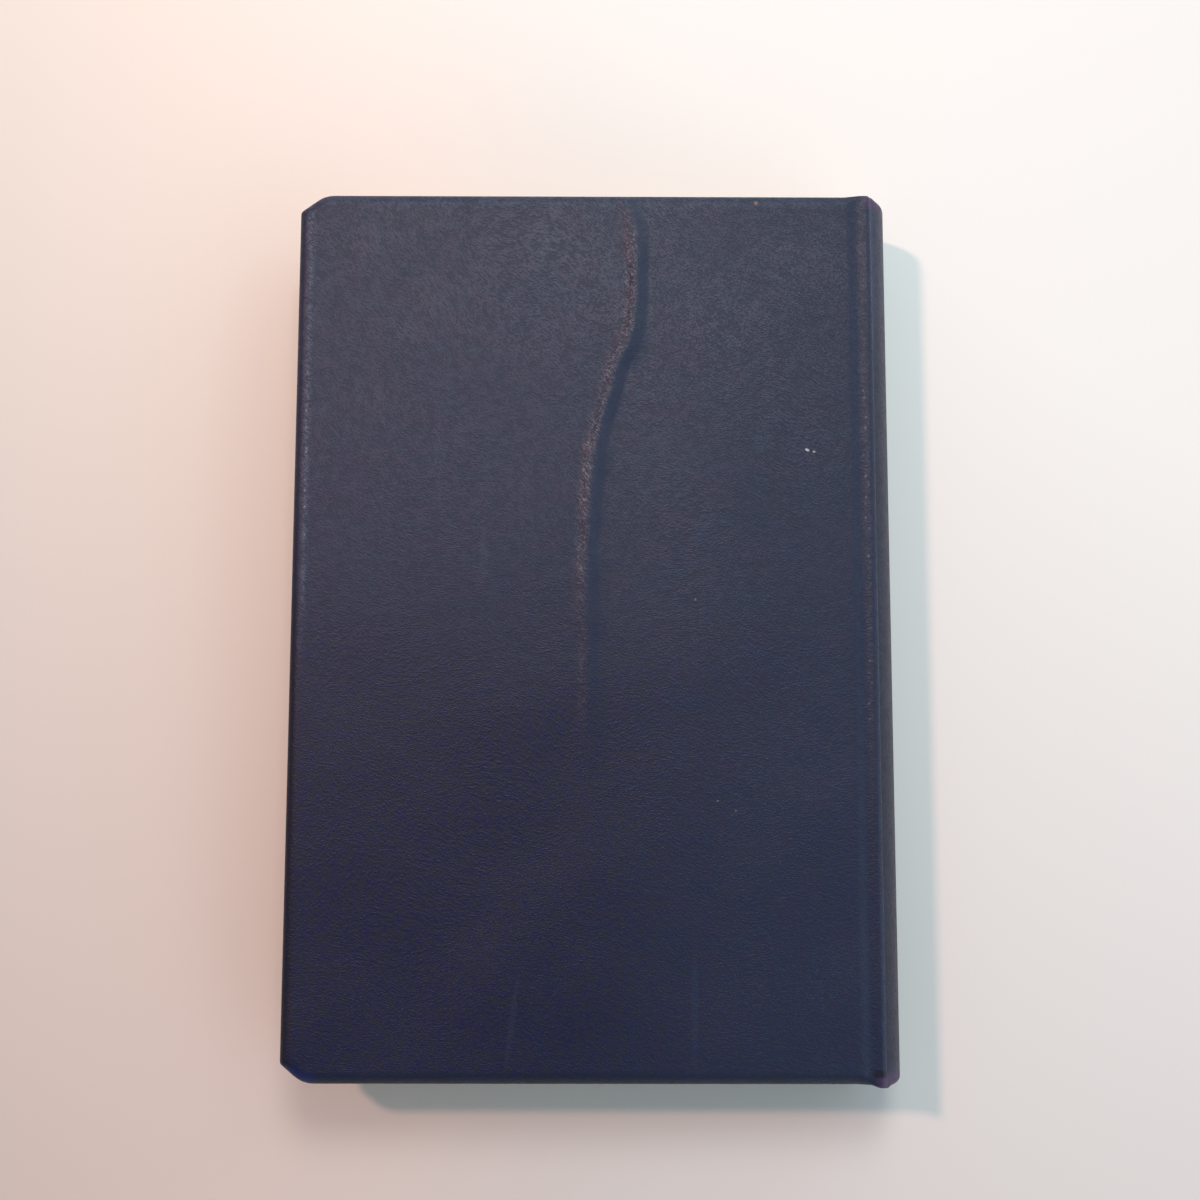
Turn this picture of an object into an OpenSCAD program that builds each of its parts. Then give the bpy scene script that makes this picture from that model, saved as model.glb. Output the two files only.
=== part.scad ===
// Hardback book, cloth over boards, closed and lying flat on its front cover.
// Millimetres. X runs from the fore-edge to the spine, Y from tail to head, Z up.

/* [Text block] */
// Height of the leaves, from tail to head
page_h = 186; // [140:1:240]
// Width of the leaves, from the shoulder crest to the fore-edge
page_w = 122.4; // [90:0.1:170]
// Thickness of the pressed leaves
block_t = 16; // [12:0.5:30]
// Depth of the hollow in the fore-edge
fore_hollow = 3.5; // [1:0.1:5]

/* [Covers] */
// Thickness of a board
board_t = 2.6; // [1.8:0.1:4]
// How far a cover reaches past the leaves
square_w = 3; // [2:0.1:6]
// Distance from the hinge axis to the joint edge of a board
joint_gap = 4.6; // [4.2:0.1:9]
// Rounding of the outer edges of a cover
edge_r = 2; // [1:0.1:2.2]
// Rounding of the inner edges of a cover
inner_edge_r = 0.6; // [0.3:0.1:0.8]
// Reach of the clipped head corner along the head
head_clip_x = 5.4; // [3:0.1:9]
// Reach of the clipped head corner along the fore-edge
head_clip_y = 3.9; // [3:0.1:9]
// Reach of the clipped tail corner along the tail
tail_clip_x = 7.3; // [3:0.1:9]
// Reach of the clipped tail corner along the fore-edge
tail_clip_y = 4.1; // [3:0.1:9]

/* [Cloth] */
// Thickness of the covering cloth
cloth_t = 0.45; // [0.35:0.05:0.55]
// How far the cloth is turned in over the boards
turn_in = 15; // [8:1:25]
// Depth of the groove along the joint
groove_depth = 0.5; // [0.3:0.05:1]
// Distance from the hinge axis to the bottom of the groove
groove_x = 2; // [1.8:0.1:3]

/* [Spine] */
// Radius of the rounded crest of cloth over each shoulder
crest_r = 1.2; // [1.1:0.05:1.4]
// How far the crest lies below the face of the cover
crest_drop = 0.1; // [0:0.05:0.4]
// How far the rounded spine stands out past the hinge axis
spine_bulge = 5.9; // [5.5:0.1:8]
// Radius of the rolled head cap and tail cap
cap_r = 2.6; // [2.2:0.1:3]
// How far the caps reach past the covers
cap_bulge = 0.6; // [0:0.1:1]

/* [Linings] */
// Thickness of an endpaper
paper_t = 0.2; // [0.1:0.05:0.3]
// Thickness of the mull
mull_t = 0.15; // [0.1:0.05:0.2]
// Thickness of the paper liner on the mull
liner_t = 0.25; // [0.15:0.05:0.4]
// Thickness of the card inlay in the spine
inlay_t = 0.6; // [0.4:0.05:0.8]
// Hollow between the liner and the inlay
hollow_t = 0.5; // [0.5:0.05:1]
// Width of a mull flange on its board
flange_w = 20; // [10:1:35]
// How far the mull stops short of head and tail
mull_short = 13; // [5:1:25]
// Thickness of the headband and the tailband
band_d = 1.7; // [1:0.1:1.9]

/* [Wrinkle] */
// Height of the buckled fold in the back cover's cloth
fold_h = 0.85; // [0.4:0.05:1.2]
// Width of its flank towards the fore-edge
fold_left = 2.3; // [1:0.1:4]
// Width of its flank towards the spine
fold_right = 2.9; // [1:0.1:4]
// Distance from the fore-edge to the straight part of the fold
fold_x = 64; // [30:1:80]
// Length of the fold, from the head downwards
fold_len = 128; // [60:1:135]

/* [Fit] */
// Clearance between pieces that move against each other
play = 0.3; // [0.25:0.05:0.4]
// Film of glue between the round layers of the spine
glue_t = 0.03; // [0.01:0.01:0.05]

/* [Hidden] */
$fn = 96;
thin = 0.01;
far = 400;
// Excess of a cutting shape past what it cuts
over = 1;

cloth_col = "#3d3c4b";
board_col = "#a3967f";
paper_col = "#e9dfc6";
leaf_col = "#ded0ae";
mull_col = "#d8d3c2";
card_col = "#8d8676";
band_col = "#7a4652";

// Heights above the middle plane of the closed book
page_z = block_t / 2;
fly_z = page_z + paper_t;
paste_z = fly_z + play;
turn_z = paste_z + paper_t;
board_z = turn_z + cloth_t;
skin_z = board_z + board_t;
top_z = skin_z + cloth_t;

// Outline of a cover, measured from the hinge axis and the middle
cover_w = page_w + square_w;
cover_half = page_h / 2 + square_w;
window_half = cover_half - turn_in;
cover_levels = plate_levels(turn_z, top_z, edge_r, inner_edge_r);
// Overlap of the joint's strip and the cloth on the board
lap = 1;
// Rounding of both ends of a clipped corner
clip_round = 1;

// Hinge axis and the shoulder under the crest
axis_z = top_z - crest_drop - crest_r;
tip_r = crest_r - cloth_t - mull_t;
neck_x = tip_r + mull_t;
layer_x = neck_x + glue_t;
strip_x = -crest_r - play;
// Where the sheets of a joint end, inside the room that is cut for the crest
sheet_x = -crest_r;
// Radius of that room: an open cover also has to clear the foot of the spine
crest_room_r = crest_r + play + 0.2;
ramp_h = top_z - dip(strip_x) - 2 * cloth_t - turn_z;

// Arc of the spine, through its furthest point and the foot of each crest
crest_foot = 35;
foot_x = crest_r * cos(crest_foot);
foot_z = axis_z - crest_r * sin(crest_foot);
spine_r = (foot_z * foot_z + pow(spine_bulge - foot_x, 2)) / (2 * (spine_bulge - foot_x));
spine_x = spine_bulge - spine_r;
foot_angle = asin(foot_z / spine_r);
inlay_r = spine_r - cloth_t;
lap_r = inlay_r - inlay_t;
liner_r = lap_r - hollow_t;
mull_r = liner_r - liner_t;
block_r = mull_r - mull_t;
roll_t = spine_r - lap_r + cloth_t;

// Ends of the spine
cap_y = cover_half + cap_bulge - cap_r;
// Angle by which the caps reach into the crests
cap_seat = 3;
flange_half = page_h / 2 - mull_short;
// How far a crest's round end stops short of the end of the cover
crest_short = 0.6;
// How much shorter a lining is cut at each end than what it lies on
trim = 1;
// Edge of a pastedown inside the outline of the leaves
paste_inset = 0.5;
// Bands at head and tail: angle left free at each shoulder, reach past the back, seat in the leaves
band_free = 10;
band_over = 0.2;
band_seat = 0.1;

// Course of the fold: sideways shift, share of the length, share of the height
fold_course = [
    [7.6, 0.01, 0.3], [9.3, 0.035, 0.6], [10.3, 0.07, 0.8], [10.5, 0.125, 0.95],
    [10.4, 0.18, 1], [9.8, 0.24, 1], [8, 0.277, 1], [6, 0.303, 1], [5, 0.344, 1],
    [3.2, 0.39, 0.95], [1.8, 0.437, 0.9], [1, 0.477, 0.85], [0.3, 0.54, 0.8],
    [-0.1, 0.625, 0.75], [-0.4, 0.695, 0.65], [-0.1, 0.773, 0.5],
    [0.2, 0.875, 0.35], [0.4, 0.945, 0.2], [1, 1, 0]
];
// Section of the fold: share of the flank, share of the height
fold_section = [
    [-1, 0], [-0.75, 0.12], [-0.45, 0.5], [-0.18, 0.9], [0, 1],
    [0.2, 0.86], [0.45, 0.48], [0.72, 0.14], [1, 0]
];
fold_root = cloth_t / 2;

// Depth of the outer cloth below the face of the cover, from the board to the crest
function dip(x) =
    x <= -joint_gap ? 0
    : x <= -groove_x ? groove_depth * (1 - cos(180 * (x + joint_gap) / (joint_gap - groove_x))) / 2
    : groove_depth - (groove_depth - crest_drop) * (1 - cos(180 * (x + groove_x) / groove_x)) / 2;

// Rise of the endpapers and the leaves up the shoulder
function ramp(x) = max(0, ramp_h * (x + joint_gap) / (joint_gap + strip_x));

// An X-Z section drawn along Y, centred
module along(length) {
    rotate([90, 0, 0]) linear_extrude(height = length, center = true) children();
}

// A Y-Z section drawn along X
module across(x0, x1) {
    translate([x0, 0, 0]) rotate([90, 0, 90]) linear_extrude(height = x1 - x0) children();
}

// A radius-Y section turned about the axis of the spine, within an angle to each side
module round_spine(angle) {
    translate([spine_x, 0, 0]) rotate([-90, 0, 0]) rotate([0, 0, -angle])
        rotate_extrude(angle = 2 * angle) children();
}

// Both faces of the book, from a shape on the upper one
module both_faces() {
    children();
    mirror([0, 0, 1]) children();
}

module both_ends() {
    children();
    mirror([0, 1, 0]) children();
}

module spine_disc(r, x0) {
    intersection() {
        translate([spine_x, 0]) circle(r);
        translate([x0, -far / 2]) square([far, far]);
    }
}

module spine_layer(outer_r, inner_r) {
    difference() {
        spine_disc(outer_r, layer_x);
        translate([spine_x, 0]) circle(inner_r);
    }
}

// A sheet that lies flat and then rises up the shoulder, in section
module leaf_section(x0, z, t, x1) {
    polygon([
        [x0, z], [-joint_gap, z], [x1, z + ramp(x1)],
        [x1, z + t + ramp(x1)], [-joint_gap, z + t], [x0, z + t]
    ]);
}

// Height and inset of each ring of a plate, from its inner face to its outer face
function plate_levels(z0, z1, outer_r, inner_r) = concat(
    [for (a = [90:-30:0]) [z0 + inner_r * (1 - sin(a)), inner_r * (1 - cos(a))]],
    [for (a = [0:15:90]) [z1 - outer_r * (1 - sin(a)), outer_r * (1 - cos(a))]]
);

// A corner of an outline, rounded, between the directions to its two neighbours
function round_corner(p, to_a, to_b) = [
    p + clip_round * to_a, p + clip_round * (to_a + to_b) / 4, p + clip_round * to_b
];

// A clipped corner of a plate, set in, from the head or tail to the fore-edge
function clipped_corner(clip, inset) =
    let (
        slant = norm(clip),
        end = [clip[0] - cover_w + inset * (slant - clip[0]) / clip[1], cover_half - inset],
        side = [inset - cover_w, cover_half - clip[1] - inset * (slant - clip[1]) / clip[0]],
        down = (side - end) / norm(side - end)
    )
    concat(round_corner(end, [1, 0], down), round_corner(side, -down, [0, -1]));

// Outline of a plate, set in: square at the joint, clipped at both corners of the fore-edge
function plate_ring(inset) =
    let (
        head = clipped_corner([head_clip_x, head_clip_y], inset),
        tail = clipped_corner([tail_clip_x, tail_clip_y], inset)
    )
    concat(
        [[-joint_gap, cover_half - inset]], head,
        [for (i = [len(tail) - 1:-1:0]) [tail[i][0], -tail[i][1]]],
        [[-joint_gap, inset - cover_half]]
    );

// A plate with rounded edges, lofted through its rings
module rounded_plate(levels) {
    rings = [for (level = levels) plate_ring(level[1])];
    n = len(rings[0]);
    last = len(levels) - 1;
    polyhedron(
        [for (k = [0:last]) for (p = rings[k]) [p[0], p[1], levels[k][0]]],
        concat(
            [[for (i = [0:n - 1]) i]],
            [for (k = [0:last - 1]) for (i = [0:n - 1]) [
                k * n + i, k * n + n + i, k * n + n + (i + 1) % n, k * n + (i + 1) % n
            ]],
            [[for (i = [n - 1:-1:0]) last * n + i]]
        )
    );
}

// Text block: leaves with a round back, two shoulders and a hollow fore-edge
module shoulder_section() {
    polygon([
        [-joint_gap, page_z / 2], [-joint_gap, page_z], [strip_x, page_z + ramp_h],
        [-tip_r, axis_z - tip_r / 2], [-tip_r, axis_z], [tip_r, axis_z], [tip_r, page_z / 2]
    ]);
    translate([0, axis_z]) circle(tip_r);
}

module leaves(length) {
    along(length) spine_disc(block_r, -thin);
    translate([-page_w, -length / 2, -page_z]) cube([page_w, length, block_t]);
    both_faces() along(length) shoulder_section();
}

module text_block() {
    hollow_r = (page_z * page_z + fore_hollow * fore_hollow) / (2 * fore_hollow);
    color(leaf_col) difference() {
        leaves(page_h);
        along(page_h + 2 * over) translate([fore_hollow - page_w - hollow_r, 0]) circle(hollow_r);
    }
}

module flyleaf() {
    color(paper_col) along(page_h) leaf_section(-page_w, page_z, paper_t, strip_x);
}

// Mull: gauze glued round the back and over both shoulders
module mull_outline(length) {
    along(length) spine_disc(mull_r, 0);
    both_faces() along(length) {
        translate([0, axis_z]) circle(tip_r + mull_t);
        square([neck_x, axis_z]);
    }
}

module spine_mull() {
    color(mull_col) difference() {
        mull_outline(2 * flange_half);
        leaves(page_h);
    }
}

module spine_liner() {
    color(paper_col) along(page_h - 2 * trim) spine_layer(liner_r, mull_r + glue_t);
}

module spine_inlay() {
    color(card_col) along(2 * cap_y) spine_layer(inlay_r - glue_t, lap_r + glue_t);
}

// A wound band that sits on the end of the leaves, under the cap
module band_at_head() {
    color(band_col) round_spine(foot_angle - band_free) intersection() {
        translate([block_r - band_d / 2 + band_over, page_h / 2 + band_d / 2 - band_seat])
            circle(band_d / 2);
        translate([0, page_h / 2]) square([far, band_d]);
    }
}

// Closed round end of the crest of cloth over each shoulder, a hair thicker than the crest
module crest_tip() {
    length = square_w - play - crest_r - crest_short;
    rotate([-90, 0, 0]) rotate_extrude() {
        square([crest_r + thin, length]);
        intersection() {
            translate([0, length]) circle(crest_r);
            translate([0, length]) square(crest_r);
        }
    }
}

// Spine cloth: round back with a crest along each shoulder, rolled over at head and tail
module spine_wall() {
    length = 2 * cap_y;
    difference() {
        union() {
            along(length) spine_disc(spine_r, 0);
            both_faces() along(length) translate([0, axis_z]) circle(crest_r);
        }
        along(length + 2 * over) spine_disc(inlay_r, -thin);
        mull_outline(length + 2 * over);
        both_faces() along(length + 2 * over)
            translate([-crest_r - over, -over])
                square([crest_r + over, axis_z - mull_t + over]);
    }
}

// Section of a cap: a quarter ring on a skirt that reaches into the wall
module cap_profile(t) {
    translate([spine_r - cap_r, cap_y]) intersection() {
        difference() {
            circle(cap_r);
            circle(cap_r - t);
        }
        square(cap_r);
    }
    translate([inlay_r + cloth_t / 4, cap_y - cloth_t]) square([cloth_t / 2, cloth_t + thin]);
}

module caps() {
    round_spine(foot_angle + cap_seat) cap_profile(cloth_t);
    intersection() {
        round_spine(foot_angle + cap_seat) cap_profile(roll_t);
        translate([layer_x, 0, -far / 2]) cube([far, far, far]);
    }
}

module spine_cloth() {
    lap_reach = play;
    color(cloth_col) {
        spine_wall();
        both_ends() caps();
        both_ends() translate([0, cap_y - turn_in / 2, 0])
            along(turn_in + lap_reach) spine_layer(lap_r, lap_r - cloth_t);
        both_faces() both_ends() translate([0, page_h / 2 + play, axis_z]) crest_tip();
    }
}

// Board of the upper cover, inside its cloth
module board() {
    levels = plate_levels(board_z, skin_z, edge_r - cloth_t, inner_edge_r / 4);
    color(board_col) rounded_plate([for (level = levels) [level[0], level[1] + cloth_t]]);
}

// Cloth strip of the joint: groove, turn-ins and closed ends
strip_steps = 24;
strip_xs = concat(
    [-joint_gap - lap], [for (i = [0:strip_steps]) -joint_gap + i * joint_gap / strip_steps]
);

module strip_section(depth) {
    n = len(strip_xs) - 1;
    polygon(concat(
        [for (x = strip_xs) [x, top_z - dip(x)]],
        [for (i = [n:-1:0]) [strip_xs[i], top_z - dip(strip_xs[i]) - depth]]
    ));
}

module strip_end_section() {
    n = len(strip_xs) - 1;
    polygon(concat(
        [for (x = strip_xs) [x, top_z - dip(x) - cloth_t / 2]],
        [[strip_x, turn_z + ramp_h], [-joint_gap, turn_z], [-joint_gap - lap, turn_z]]
    ));
}

// Y-Z outline of a cover, with the same rounded edges as its plate
module cover_end_outline() {
    n = len(cover_levels) - 1;
    polygon(concat(
        [for (level = cover_levels) [cover_half - level[1], level[0]]],
        [for (i = [n:-1:0]) [cover_levels[i][1] - cover_half, cover_levels[i][0]]]
    ));
}

module joint_strip() {
    difference() {
        intersection() {
            union() {
                along(2 * cover_half) strip_section(cloth_t);
                both_ends() {
                    translate([0, cover_half - turn_in / 2, 0]) along(turn_in)
                        leaf_section(-joint_gap - lap, turn_z, cloth_t, sheet_x);
                    translate([0, cover_half - cloth_t, 0]) along(2 * cloth_t) strip_end_section();
                }
            }
            across(-joint_gap - lap, 0) cover_end_outline();
        }
        crest_room();
    }
}

// Room for the crest, round the hinge axis
module crest_room() {
    translate([0, 0, axis_z]) along(2 * (cover_half + over)) circle(crest_room_r);
}

// The buckled fold, swept along its course
function fold_point(c, s, lift) = [
    fold_x - cover_w + c[0] + s[0] * (s[0] < 0 ? fold_left : fold_right),
    cover_half - c[1] * fold_len,
    top_z + fold_h * c[2] * s[1] - lift
];

module fold() {
    n = len(fold_section);
    ring = 2 * n;
    last = len(fold_course) - 1;
    points = [
        for (c = fold_course)
            for (i = [0:ring - 1])
                i < n ? fold_point(c, fold_section[i], thin)
                : fold_point([c[0], c[1], 0], fold_section[ring - 1 - i], fold_root)
    ];
    polyhedron(points, concat(
        [[for (i = [ring - 1:-1:0]) i]],
        [for (k = [0:last - 1]) for (i = [0:ring - 1]) [
            k * ring + i, k * ring + (i + 1) % ring,
            k * ring + ring + (i + 1) % ring, k * ring + ring + i
        ]],
        [[for (i = [0:ring - 1]) last * ring + i]]
    ));
}

// Covering cloth of the upper cover
module cover_cloth(wrinkled) {
    color(cloth_col) difference() {
        union() {
            rounded_plate(cover_levels);
            joint_strip();
            if (wrinkled) fold();
        }
        board();
        translate([turn_in - cover_w, -window_half, turn_z - over])
            cube([cover_w - turn_in - joint_gap, 2 * window_half, cloth_t + over]);
    }
}

// Mull flange, from the joint to its edge on the board
module mull_flange() {
    color(mull_col) along(2 * (flange_half - trim)) difference() {
        union() {
            translate([-joint_gap - flange_w, board_z - mull_t]) square([flange_w + mull_t, mull_t]);
            translate([-joint_gap, turn_z + mull_t / 2]) square([mull_t, cloth_t - mull_t / 2]);
            leaf_section(-joint_gap, turn_z, mull_t, sheet_x);
        }
        translate([0, axis_z]) circle(crest_room_r);
    }
}

// Pastedown: over the turn-ins, down into the window between them, and across the joint
module pastedown() {
    lip = board_z - mull_t;
    half = page_h / 2 - paste_inset;
    color(paper_col) difference() {
        union() {
            along(2 * half) leaf_section(paste_inset - page_w, paste_z, paper_t, sheet_x);
            translate([turn_in - cover_w, -window_half, paste_z])
                cube([cover_w - turn_in - joint_gap, 2 * window_half, lip - paste_z]);
        }
        translate([turn_in - cover_w + paper_t, paper_t - window_half, paste_z - over])
            cube([
                cover_w - turn_in - joint_gap - 2 * paper_t,
                2 * (window_half - paper_t), lip - paper_t - paste_z + over
            ]);
        crest_room();
    }
}

// The book stands with the middle of its outline on the origin
module place() {
    translate([(cover_w - spine_bulge) / 2, 0, top_z]) children();
}

module to_front() {
    mirror([0, 0, 1]) children();
}

place() text_block();
place() to_front() flyleaf();  // front_flyleaf
place() flyleaf();  // back_flyleaf
place() spine_mull();
place() spine_liner();
place() band_at_head();  // headband
place() mirror([0, 1, 0]) band_at_head();  // tailband
place() spine_inlay();
place() spine_cloth();
place() board();  // back_board
place() cover_cloth(true);  // back_cloth
place() mull_flange();  // back_mull_flange
place() pastedown();  // back_pastedown
place() to_front() board();  // front_board
place() to_front() cover_cloth(false);  // front_cloth
place() to_front() mull_flange();  // front_mull_flange
place() to_front() pastedown();  // front_pastedown
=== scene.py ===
# Cloth-bound hardback book, closed, lying on its front cover with the spine to the right.
# Everything is in metres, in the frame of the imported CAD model.
from math import atan2, cos, pi, radians, sin, sqrt

import bpy
import numpy as np
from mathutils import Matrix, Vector, noise


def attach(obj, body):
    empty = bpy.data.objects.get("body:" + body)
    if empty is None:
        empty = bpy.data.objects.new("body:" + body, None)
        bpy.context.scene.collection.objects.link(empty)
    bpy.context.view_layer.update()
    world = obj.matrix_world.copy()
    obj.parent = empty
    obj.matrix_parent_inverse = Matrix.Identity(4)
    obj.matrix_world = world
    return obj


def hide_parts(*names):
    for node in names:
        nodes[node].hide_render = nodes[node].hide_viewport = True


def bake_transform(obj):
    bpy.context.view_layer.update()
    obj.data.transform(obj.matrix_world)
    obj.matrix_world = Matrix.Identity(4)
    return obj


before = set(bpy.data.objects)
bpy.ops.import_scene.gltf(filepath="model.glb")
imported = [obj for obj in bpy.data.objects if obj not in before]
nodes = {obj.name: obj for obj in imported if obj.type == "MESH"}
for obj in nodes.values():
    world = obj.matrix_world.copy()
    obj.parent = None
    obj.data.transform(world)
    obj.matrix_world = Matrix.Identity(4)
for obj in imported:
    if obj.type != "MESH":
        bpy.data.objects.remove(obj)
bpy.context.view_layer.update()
scene = bpy.context.scene
mm = 0.001

# Camera, held above the closed book a little towards its tail.
# Its place, tilt and lens are those of the photograph.
camera = bpy.data.objects.new("camera", bpy.data.cameras.new("camera"))
scene.collection.objects.link(camera)
camera.location = (-0.28 * mm, -29.15 * mm, 335.2 * mm)
camera.rotation_euler = (radians(6.33), radians(-0.2438), radians(0.1035))
camera.data.sensor_width = 36
camera.data.lens = 43.65
camera.data.clip_start = 0.01
camera.data.clip_end = 50
scene.camera = camera
scene.view_settings.view_transform = "Standard"

# Leaves: about 150 leaves of thick paper, sewn in gatherings, rounded and backed,
# with their edges trimmed. The trimmed edges are uneven by a few hundredths of a millimetre.
hinge_x = 59.75
middle_z = 12.2
leaf_count = 150
gathering = 10
page_half = 93
page_width = 122.4
page_half_thick = 8
hollow = 3.5
hollow_radius = (page_half_thick ** 2 + hollow ** 2) / (2 * hollow)
hollow_centre = -page_width + hollow - hollow_radius
board_edge = 4.6
shoulder_top = 11.5
shoulder_radius = 0.6
back_centre = -7.162
back_radius = 11.112
flare_x = [-board_edge, -1.5, -0.6, 0]
flare_z = [page_half_thick, 10.16, 10.75, shoulder_top]
leaf_rough = 0.022
gathering_rough = 0.05
edge_cream = (0.74, 0.65, 0.47, 1)
edge_brown = (0.42, 0.33, 0.2, 1)
edge_band = (0.52, 0.4, 0.24, 1)
edge_fibre = (0.6, 0.5, 0.34, 1)
edge_foxing = (0.33, 0.2, 0.09, 1)


def place(x, y, z):
    """Millimetres from the hinge line and the middle of the book, as metres in the frame."""
    return np.stack(np.broadcast_arrays(
        (x + hinge_x) * mm, y * mm, (z + middle_z) * mm), axis=-1)


def ease(start, end, value):
    """A soft step from 0 at the start to 1 at the end."""
    share = np.clip((np.asarray(value, float) - start) / (end - start), 0, 1)
    return share * share * (3 - 2 * share)


def closed_skin(name, points, flip=False, smooth=True, **values):
    """The outside of a lattice of points [i, j, k] as one closed mesh, with values on its points."""
    shape = points.shape[:3]
    outside = np.ones(shape, bool)
    outside[1:-1, 1:-1, 1:-1] = False
    number = (np.cumsum(outside.ravel()) - 1).reshape(shape)
    quads = []
    for ids, turned in (
        (number[:, :, -1], False), (number[:, :, 0], True),
        (number[-1], False), (number[0], True),
        (number[:, -1].T, False), (number[:, 0].T, True),
    ):
        ring = [ids[:-1, :-1], ids[1:, :-1], ids[1:, 1:], ids[:-1, 1:]]
        if turned != flip:
            ring.reverse()
        quads.append(np.stack(ring, axis=-1).reshape(-1, 4))
    quads = np.concatenate(quads)
    mesh = bpy.data.meshes.new(name)
    mesh.vertices.add(int(outside.sum()))
    mesh.vertices.foreach_set("co", points[outside].astype(np.float32).ravel())
    mesh.loops.add(quads.size)
    mesh.loops.foreach_set("vertex_index", quads.astype(np.int32).ravel())
    mesh.polygons.add(len(quads))
    mesh.polygons.foreach_set("loop_start", np.arange(0, quads.size, 4, dtype=np.int32))
    mesh.polygons.foreach_set("use_smooth", np.full(len(quads), smooth))
    mesh.update(calc_edges=True)
    mesh.set_sharp_from_angle(angle=radians(50))
    for key, value in values.items():
        layer = mesh.attributes.new(key, "FLOAT", "POINT")
        layer.data.foreach_set("value", value[outside].astype(np.float32).ravel())
    piece = bpy.data.objects.new(name, mesh)
    scene.collection.objects.link(piece)
    return piece


def back_of_leaf(z):
    """How far from the hinge line the back of a leaf reaches, at a height from the middle."""
    height = np.abs(z)
    round_back = back_centre + np.sqrt(np.maximum(back_radius ** 2 - height ** 2, 0))
    past = height - shoulder_top + shoulder_radius
    tip = np.sqrt(np.maximum(shoulder_radius ** 2 - past ** 2, 0))
    shoulder = np.where(past > 0, tip, shoulder_radius)
    return np.where(round_back > shoulder_radius, round_back, shoulder)


random = np.random.default_rng(11)
level = np.linspace(-1, 1, leaf_count + 1)
across = np.concatenate([
    [0, 0.004, 0.012], np.linspace(0.03, 0.9, 22), np.linspace(0.92, 1, 16)])
along = np.concatenate([
    [-1, -0.9985, -0.995], np.linspace(-0.985, 0.985, 42), [0.995, 0.9985, 1]])
leaf_step = random.normal(0, leaf_rough, leaf_count + 1)
fold_step = gathering_rough * np.cos(2 * pi * np.arange(leaf_count + 1) / gathering)
fore_rough = leaf_step + 0.4 * fold_step
end_rough = np.roll(leaf_step, 7) - 0.5 * fold_step
I, J, K = np.meshgrid(across, along, level, indexing="ij")
fore_x = hollow_centre + np.sqrt(hollow_radius ** 2 - (page_half_thick * K) ** 2)
leaf_x = fore_x + (back_of_leaf(shoulder_top * K) - fore_x) * I
leaf_x = leaf_x + np.where(I == 0, fore_rough, 0)
leaf_y = page_half * J + np.where(np.abs(J) == 1, np.sign(J) * end_rough, 0)
# The block is flat to the boards' edges, then flares over the shoulder.
leaf_z = np.interp(leaf_x, flare_x, flare_z) * K
leaves = closed_skin("leaves", place(leaf_x, leaf_y, leaf_z), smooth=False)


def add(tree, kind, settings=None, **inputs):
    """A shader node with its settings, and its inputs set to values or joined to sockets."""
    node = tree.nodes.new(kind)
    for key, value in (settings or {}).items():
        setattr(node, key, value)
    for key, value in inputs.items():
        numbered = key[0] == "i" and key[1:].isdigit()
        index = int(key[1:]) if numbered else key.replace("_", " ")
        if isinstance(value, bpy.types.NodeSocket):
            tree.links.new(value, node.inputs[index])
        else:
            node.inputs[index].default_value = value
    return node


def calc(tree, operation, first, second):
    node = add(tree, "ShaderNodeMath", {"operation": operation}, i0=first, i1=second)
    return node.outputs[0]


def times(tree, first, second):
    return calc(tree, "MULTIPLY", first, second)


def plus(tree, first, second):
    return calc(tree, "ADD", first, second)


def spread(tree, value, low, high, to_low=0.0, to_high=1.0, soft=True):
    """A value's range from low to high, drawn out to another range and held at its ends."""
    kind = "SMOOTHSTEP" if soft else "LINEAR"
    node = add(tree, "ShaderNodeMapRange", {"interpolation_type": kind}, Value=value,
               From_Min=low, From_Max=high, To_Min=to_low, To_Max=to_high)
    return node.outputs[0]


def mix(tree, share, first, second, blend="MIX"):
    node = add(tree, "ShaderNodeMix", {"data_type": "RGBA", "blend_type": blend},
               i0=share, i6=first, i7=second)
    return node.outputs[2]


def grain(tree, where, scale, detail=2.0, rough=0.5):
    node = add(tree, "ShaderNodeTexNoise",
               Vector=where, Scale=scale, Detail=detail, Roughness=rough)
    return node.outputs[0]


def stretch(tree, where, scale, turn=0.0):
    """A place turned about z by an angle in degrees, then scaled along x, y and z."""
    node = add(tree, "ShaderNodeMapping", {"vector_type": "TEXTURE"}, Vector=where,
               Scale=tuple(1 / part for part in scale), Rotation=(0, 0, radians(turn)))
    return node.outputs[0]


def set_bump(tree, shader, height, strength, distance):
    bump = add(tree, "ShaderNodeBump", Strength=strength, Distance=distance, Height=height)
    tree.links.new(bump.outputs[0], shader.inputs["Normal"])


def new_group(name, inputs, outputs):
    """An empty shader node group with named inputs and outputs."""
    group = bpy.data.node_groups.new(name, "ShaderNodeTree")
    for key, kind, value in inputs:
        socket = group.interface.new_socket(key, in_out="INPUT", socket_type="NodeSocket" + kind)
        if value is not None:
            socket.default_value = value
    for key in outputs:
        group.interface.new_socket(key, in_out="OUTPUT", socket_type="NodeSocketFloat")
    given = group.nodes.new("NodeGroupInput").outputs
    result = group.nodes.new("NodeGroupOutput").inputs
    return group, given, result


def use_group(tree, group, **inputs):
    return add(tree, "ShaderNodeGroup", {"node_tree": group}, **inputs).outputs


def new_material(name, roughness, **constants):
    """A material with a Principled shader whose even values are set on its own sockets."""
    material = bpy.data.materials.new(name)
    material.use_nodes = True
    tree = material.node_tree
    shader = tree.nodes["Principled BSDF"]
    shader.inputs["Roughness"].default_value = roughness
    for key, value in constants.items():
        shader.inputs[key.replace("_", " ")].default_value = value
    return material, tree, shader


def object_place(tree):
    return add(tree, "ShaderNodeTexCoord").outputs["Object"]


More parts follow.
